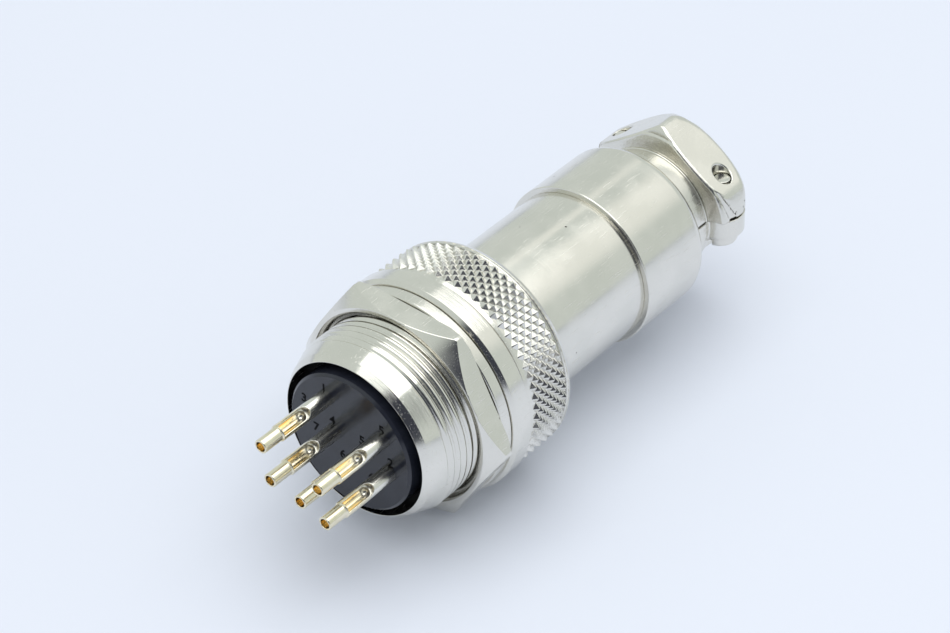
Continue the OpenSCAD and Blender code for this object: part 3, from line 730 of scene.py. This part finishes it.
def make_knurl_tree():
    tree = bpy.data.node_groups.new("knurl_band", "GeometryNodeTree")
    ids = {"Geometry": group_input(tree, "Geometry", "NodeSocketGeometry")}
    for name, kind, value in (("Count", "NodeSocketInt", KNURL_COUNT), ("Rows", "NodeSocketInt", 9),
                              ("Radius", "NodeSocketFloat", 0.009), ("First x", "NodeSocketFloat", 0.0),
                              ("Row step", "NodeSocketFloat", 0.0004)):
        ids[name] = group_input(tree, name, kind, value)
    ids["Material"] = group_input(tree, "Material", "NodeSocketMaterial")
    tree.interface.new_socket(name="Geometry", in_out="OUTPUT", socket_type="NodeSocketGeometry")
    given = tree.nodes.new("NodeGroupInput").outputs
    total = math_node(tree, "MULTIPLY", given["Count"], given["Rows"])
    cloud = add_node(tree, "GeometryNodePoints", {"Count": total})
    index = tree.nodes.new("GeometryNodeInputIndex").outputs[0]
    row = math_node(tree, "FLOOR", math_node(tree, "DIVIDE", math_node(tree, "ADD", index, 0.5), given["Count"]))
    column = math_node(tree, "SUBTRACT", index, math_node(tree, "MULTIPLY", row, given["Count"]))
    shifted = math_node(tree, "ADD", column, math_node(
        tree, "MULTIPLY", math_node(tree, "MODULO", row, 2.0), 0.5))
    angle = math_node(tree, "MULTIPLY", math_node(tree, "DIVIDE", shifted, given["Count"]), 2 * math.pi)
    place = add_node(tree, "ShaderNodeCombineXYZ", {
        0: math_node(tree, "ADD", given["First x"], math_node(tree, "MULTIPLY", row, given["Row step"])),
        1: math_node(tree, "MULTIPLY", given["Radius"], math_node(tree, "COSINE", angle)),
        2: math_node(tree, "MULTIPLY", given["Radius"], math_node(tree, "SINE", angle))})
    laid = add_node(tree, "GeometryNodeSetPosition", {"Geometry": cloud.outputs[0], "Position": place.outputs[0]})
    tilt = add_node(tree, "ShaderNodeCombineXYZ", {0: math_node(tree, "SUBTRACT", angle, math.pi / 2)})
    turn = add_node(tree, "FunctionNodeEulerToRotation", {0: tilt.outputs[0]})
    copies = add_node(tree, "GeometryNodeInstanceOnPoints", {
        "Points": laid.outputs[0], "Instance": given["Geometry"], "Rotation": turn.outputs[0]})
    whole = add_node(tree, "GeometryNodeRealizeInstances", {0: copies.outputs[0]})
    dressed = add_node(tree, "GeometryNodeSetMaterial", {"Geometry": whole.outputs[0], "Material": given["Material"]})
    out = tree.nodes.new("NodeGroupOutput")
    link(tree, dressed.outputs[0], out.inputs[0])
    return tree, ids


knurl_tree, knurl_ids = make_knurl_tree()
root_r = ring_r - KNURL_DEPTH
knurl_mesh = run_tree(pyramid_mesh(), knurl_tree, knurl_ids, {
    "Count": KNURL_COUNT, "Rows": KNURL_HALF_ROWS - 1, "Radius": root_r * MM,
    "First x": (KNURL_X0 + half_row) * MM, "Row step": half_row * MM, "Material": knurl_nickel})
knurl_mesh.name = "knurl_points"

# %% Ring core
LIP_R = 6.94
LIP_X = 6.2
ring_outline = rounded([
    (ring_x0 + 0.2, HOLE_R, 0.04), (ring_x0, HOLE_R + 0.3, 0.04), (ring_x0, root_r - 0.35, 0.10),
    (ring_x0 + 0.12, root_r - 0.1, 0.10), (KNURL_X0 - 0.1, root_r - 0.02, 0.05), (KNURL_X0, root_r + 0.005, 0.02),
    (KNURL_X1 - 0.05, root_r + 0.005, 0), (KNURL_X1 + 0.02, ring_r - 0.09, 0.03),
    (ring_x1 - 0.08, ring_r - 0.34, 0.06), (ring_x1, ring_r - 0.46, 0.05), (ring_x1, LIP_R, 0.05),
    (LIP_X, LIP_R, 0.02), (LIP_X, HOLE_R, 0)])
place_piece(solid_mesh("coupling_ring_core", *turned(ring_outline), bright_nickel),
            "ring", "nickel_plate", "coupling_ring")
place_piece(knurl_mesh, "ring", "nickel_plate", "coupling_ring")

# %% [markdown]
# ## Tail barrel
# The cable end is one turned barrel in two diameters with a fine groove of shadow at the step, a rounded
# shoulder and a neck. The clamp head behind it was milled from the same bar.

# %% Barrel
barrel_x, head_end_x, _ = span("tail_barrel")
STEP_X = barrel_x + 13.9
SHOULDER_X = STEP_X + 8.05
NECK_X = SHOULDER_X + 2.4
FRONT_R, REAR_R, NECK_R = 6.88, 7.37, 5.6
TAIL_TURN = -2.9
barrel_outline = rounded([
    (barrel_x, 6.31, 0.03), (barrel_x, FRONT_R, 0.15), (STEP_X - 0.03, FRONT_R, 0.05),
    (STEP_X + 0.03, FRONT_R - 0.12, 0.03), (STEP_X + 0.06, REAR_R, 0.13), (SHOULDER_X, REAR_R, 1.1),
    (SHOULDER_X, 4.3, 0), (SHOULDER_X - 0.3, 4.2, 0), (SHOULDER_X - 1.2, 5.6, 0), (12.25, 5.6, 0), (12.25, 6.31, 0)],
    steps=6)
place_piece(solid_mesh("tail_barrel_turned", *turned(barrel_outline, 320), bright_nickel),
            "plug", "nickel_plate", "tail_barrel")

# %% [markdown]
# ## Cable clamp
# The head flares out of the neck to a short disc and two ears. Two slanting facets were milled across its
# top like a roof, with a screw hole in each. The loose bar closes it from below. Both halves are skinned from
# distances, and their edges are about a quarter of a millimetre round.

# %% Clamp halves
SCREW_X = head_end_x - 2.05
SCREW_Y = 5.2
EAR_R, DISC_R, HEAD_R, EAR_END_R = 2.05, 7.1, 7.9, 7.4
RIDGE_Z = HEAD_R + 0.1
SPLIT_Z, GAP = 0.85, 0.2
CLAMP_R, NECK_HOLE_R = 3.6, 4.2
ROOF = math.radians(35)
BAR_LOW_Z = SPLIT_Z - GAP / 2 - 1.9


def ear_column(p):
    """The stadium round both screws, seen from above."""
    y = np.abs(p[:, 1]) - SCREW_Y
    return np.hypot(p[:, 0] - SCREW_X, np.maximum(y, 0)) - EAR_R


def screw_holes(p):
    return np.hypot(p[:, 0] - SCREW_X, np.abs(p[:, 1]) - SCREW_Y) - 0.81


def crease(p, r):
    """The seam where an ear meets the disc."""
    return np.hypot(ear_column(p), r - DISC_R) - 0.13


def bead_field(p):
    """The fine line that the cutter left at the neck's end."""
    r = np.hypot(p[:, 1], p[:, 2])
    return meet(np.hypot(p[:, 0] - NECK_X + 0.02, r - NECK_R - 0.01) - 0.10, SPLIT_Z + GAP / 2 - p[:, 2], 0.02)


def head_field(p):
    x, y, z = p.T
    r = np.hypot(y, z)
    flare = [(NECK_X + 0.1, NECK_R - 0.1), (NECK_X + 0.2, NECK_R + 0.3), (NECK_X + 0.3, NECK_R + 0.75),
             (NECK_X + 0.43, NECK_R + 1.25), (NECK_X + 0.62, NECK_R + 1.75), (NECK_X + 0.88, HEAD_R),
             (head_end_x - 1.75, HEAD_R), (head_end_x - 1.0, HEAD_R - 0.42), (head_end_x - 0.4, HEAD_R - 1.0),
             (head_end_x, HEAD_R - 1.6), (head_end_x, -9), (NECK_X - 0.3, -9), (NECK_X - 0.3, NECK_R - 0.2)]
    blank = to_outline(x, r, flare)
    disc = np.maximum(r - DISC_R, x - SCREW_X)
    shape = meet(blank, join(ear_column(p), disc, 0.03), 0.22)
    roof = meet(y * math.sin(ROOF) + (z - RIDGE_Z) * math.cos(ROOF),
                -y * math.sin(ROOF) + (z - RIDGE_Z) * math.cos(ROOF), 0.25)
    shape = meet(shape, roof, 0.24)
    ear_end = np.minimum(r - EAR_END_R, np.abs(y) - SCREW_Y + 0.7)
    shape = meet(shape, ear_end, 0.2)
    shape = meet(shape, -crease(p, r), 0.04)
    neck = to_outline(x, r, [(SHOULDER_X - 0.5, NECK_R), (NECK_X, NECK_R), (NECK_X, -9), (SHOULDER_X - 0.5, -9)])
    shape = join(shape, neck, 0.04)
    shape = meet(shape, np.where(x < NECK_X + 0.3, NECK_HOLE_R, CLAMP_R) - r, 0.08)
    shape = meet(shape, SPLIT_Z + GAP / 2 - z, 0.05)
    return meet(shape, -screw_holes(p), 0.10)


def bar_field(p):
    x, y, z = p.T
    r = np.hypot(y, z)
    ears = meet(ear_column(p), BAR_LOW_Z - z, 0.2)
    half_neck = np.maximum(r - NECK_R, x - NECK_X)
    arch = meet(r - 5.5, x - head_end_x + 0.05, 0.3)
    shape = join(ears, np.maximum(np.minimum(half_neck, arch), SHOULDER_X + 0.1 - x), 0.12)
    shape = meet(shape, z - SPLIT_Z + GAP / 2, 0.06)
    shape = meet(shape, np.where(x < NECK_X + 0.3, NECK_HOLE_R, CLAMP_R) - r, 0.08)
    seat = np.maximum(screw_holes(p) - 0.84, z - BAR_LOW_Z)
    return meet(meet(shape, -seat, 0.05), -screw_holes(p), 0.06)


def skinned(name, field, low, high, step, material, turn=TAIL_TURN):
    points, quads, normals = skin(field, low, high, step)
    return solid_mesh(name, turn_about_x(points, turn), quads, material, turn_about_x(normals, turn))


head_mesh = skinned("clamp_head", head_field, (SHOULDER_X - 0.7, -8.2, 0.6), (head_end_x + 0.2, 8.2, 8.4),
                    0.095, cast_nickel)
place_piece(head_mesh, "plug", "nickel_plate", "tail_barrel")
bead_mesh = skinned("neck_bead", bead_field, (NECK_X - 0.2, -NECK_R - 0.2, 0.8), (NECK_X + 0.2, NECK_R + 0.2, 5.9),
                    0.05, bright_nickel)
place_piece(bead_mesh, "plug", "nickel_plate", "tail_barrel")
bar_mesh = skinned("clamp_bar_cast", bar_field, (SHOULDER_X - 0.1, -7.6, -5.9), (head_end_x + 0.2, 7.6, 1.1),
                   0.095, cast_nickel)
place_piece(bar_mesh, "clamp_bar", "nickel_plate", "clamp_bar")


# %% Clamp screws
def screw_field(side):
    tip_z = RIDGE_Z - SCREW_Y * math.tan(ROOF) - 0.45
    head_z = BAR_LOW_Z - 1.0

    def field(p):
        x, y, z = p[:, 0] - SCREW_X, p[:, 1] - side * SCREW_Y, p[:, 2]
        r = np.hypot(x, y)
        groove = 0.05 * np.cos(z * 2 * math.pi / 0.4 + np.arctan2(y, x))
        shaft = meet(np.maximum(r - 0.70 + groove, head_z + 0.3 - z) * 0.8, z - tip_z, 0.08)
        dome = np.hypot(r, (z - BAR_LOW_Z - 0.6)) - 2.15
        head = meet(meet(r - 1.5, z - BAR_LOW_Z + 0.01, 0.05), np.maximum(dome, head_z - z), 0.12)
        return meet(join(shaft, head, 0.03), -np.maximum(np.abs(y) - 0.2, z - head_z - 0.5), 0.04)
    return field, head_z, tip_z


for number, side in (("1", -1), ("2", 1)):
    field, head_z, tip_z = screw_field(side)
    middle = side * SCREW_Y
    mesh = skinned("clamp_screw_cut_" + number, field, (SCREW_X - 1.7, middle - 1.7, head_z - 0.15),
                   (SCREW_X + 1.7, middle + 1.7, tip_z + 0.2), 0.06, bright_nickel)
    place_piece(mesh, "screw_" + number, "nickel_plate", "clamp_screw_" + number)

# %% [markdown]
# ## Contacts
# Each of the five contacts ends in a solder cup: a thin wire tube, a long window where the solder goes in,
# and a solid shank. One contact is skinned and copied to the five places. Its windows face the viewer. The
# mating pin at the other end is turned.

# %% Solder cups and pins
CONTACTS = ((4.1, 55), (1.55, 15), (1.55, 180), (4.1, 145), (4.1, 190))
WINDOW_TURN = 122 - 90
cup_x = span("pin_contact_1")[0]
pin_end_x = span("pin_contact_1")[1]
BODY_END_X = -3.2
TUBE_R, SHANK_R, CUP_HOLE_R, PIN_R = 0.59, 0.70, 0.42, 0.5
WINDOW_X0 = cup_x + 2.05
WINDOW_X1 = cup_x + 1.9 + 3.2
WINDOW_HALF = 0.52


def cup_field(p):
    x, y, z = p.T
    r = np.hypot(y, z)
    outside = to_outline(x, r, [
        (cup_x, TUBE_R - 0.05), (cup_x + 0.05, TUBE_R), (cup_x + 1.9, TUBE_R), (cup_x + 1.94, SHANK_R - 0.04),
        (cup_x + 2.0, SHANK_R), (BODY_END_X - 5.0, SHANK_R), (BODY_END_X - 5.0, -2), (cup_x, -2)])
    hole_end = WINDOW_X1 - WINDOW_HALF
    hole = np.where(x < hole_end, r, np.sqrt((x - hole_end) ** 2 + r * r)) - CUP_HOLE_R
    window = np.where(x < hole_end, np.abs(y), np.hypot(x - hole_end, y)) - WINDOW_HALF
    window = np.maximum(np.maximum(window, WINDOW_X0 - x), 0.10 - z)
    return meet(meet(outside, -hole, 0.03), -window, 0.05)


cup_points, cup_quads, cup_normals = skin(
    cup_field, (cup_x - 0.1, -0.8, -0.8), (BODY_END_X - 4.9, 0.8, 0.8), 0.05)
cup_middles = cup_points[cup_quads].mean(1)
inner_quads = (np.hypot(cup_middles[:, 1], cup_middles[:, 2]) < CUP_HOLE_R + 0.03).astype(np.int32)
pin_outline = rounded([
    (BODY_END_X - 5.1, 0, 0), (BODY_END_X - 5.1, SHANK_R, 0.02), (BODY_END_X, SHANK_R, 0.05),
    (BODY_END_X, PIN_R, 0.02), (pin_end_x, PIN_R, 0.35), (pin_end_x, 0, 0)], steps=5)
pin_points, pin_quads = turned(pin_outline, 48)
for number, (reach, angle) in enumerate(CONTACTS, start=1):
    place = np.array([0, reach * math.cos(math.radians(angle)), reach * math.sin(math.radians(angle))])
    name, node = "solder_cup_%d" % number, "pin_contact_%d" % number
    mesh = solid_mesh(name, turn_about_x(cup_points, WINDOW_TURN) + place, cup_quads, gold_plate,
                      turn_about_x(cup_normals, WINDOW_TURN))
    mesh.materials.append(deep_gold)
    mesh.polygons.foreach_set("material_index", inner_quads)
    place_piece(mesh, "receptacle", "gold_contact", node)
    mesh = solid_mesh("mating_pin_%d" % number, pin_points, pin_quads, gold_plate)
    mesh.transform(Matrix.Translation([c * MM for c in place]))
    place_piece(mesh, "receptacle", "gold_contact", node)

# %% [markdown]
# ## Numbers on the insert
# Plain contact numbers stand up from the insert's face by a hair. They are text made into a mesh, and then
# laid on the face, so they read with +Z up for someone who looks along +X.

# %% Numbers
FACE_X = span("receptacle_insert")[0]
NUMBER_SIZE = 1.15
NUMBERS = (("3", 4.62, 2.04), ("1", 2.55, 4.17), ("4", 1.70, 1.41), ("7", 3.41, -0.27), ("5", -1.31, 1.02),
           ("6", 0.67, -1.53), ("5", -3.29, 3.20), ("2", -4.17, 0.35), ("6", -2.23, -2.26))


def number_mesh():
    joined = bmesh.new()
    for text, y, z in NUMBERS:
        curve = bpy.data.curves.new("number", "FONT")
        curve.body = text
        curve.size = NUMBER_SIZE * MM
        curve.extrude = 0.012 * MM
        curve.offset = 0.03 * MM
        curve.align_x, curve.align_y = "CENTER", "CENTER"
        holder = bpy.data.objects.new("number", curve)
        bpy.context.scene.collection.objects.link(holder)
        seen = holder.evaluated_get(bpy.context.evaluated_depsgraph_get())
        flat = bpy.data.meshes.new_from_object(seen)
        lay = Matrix(((0, 0, -1, FACE_X * MM), (-1, 0, 0, y * MM), (0, 1, 0, z * MM), (0, 0, 0, 1)))
        flat.transform(lay)
        joined.from_mesh(flat)
        bpy.data.objects.remove(holder)
    mesh = bpy.data.meshes.new("contact_numbers")
    joined.to_mesh(mesh)
    joined.free()
    mesh.materials.clear()
    mesh.materials.append(dull_black)
    return mesh


place_piece(number_mesh(), "receptacle", "black_insert")

# %% [markdown]
# ## Finish for the parts that stay as packed
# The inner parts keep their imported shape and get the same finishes: plastic for the inserts and the clip,
# gold for the sockets, nickel for the keyed sleeve.

# %% Carried-over nodes
kept_finish = {"receptacle_insert": black_insert, "plug_insert": black_insert,
               "receptacle_retaining_ring": dull_black, "plug_shell": bright_nickel,
               "plug_retaining_ring": bright_nickel}
kept_finish.update({"socket_contact_%d" % k: gold_plate for k in range(1, 6)})
for name, material in kept_finish.items():
    cad_nodes[name].data.materials.clear()
    cad_nodes[name].data.materials.append(material)
print("kept nodes", len(kept_finish))
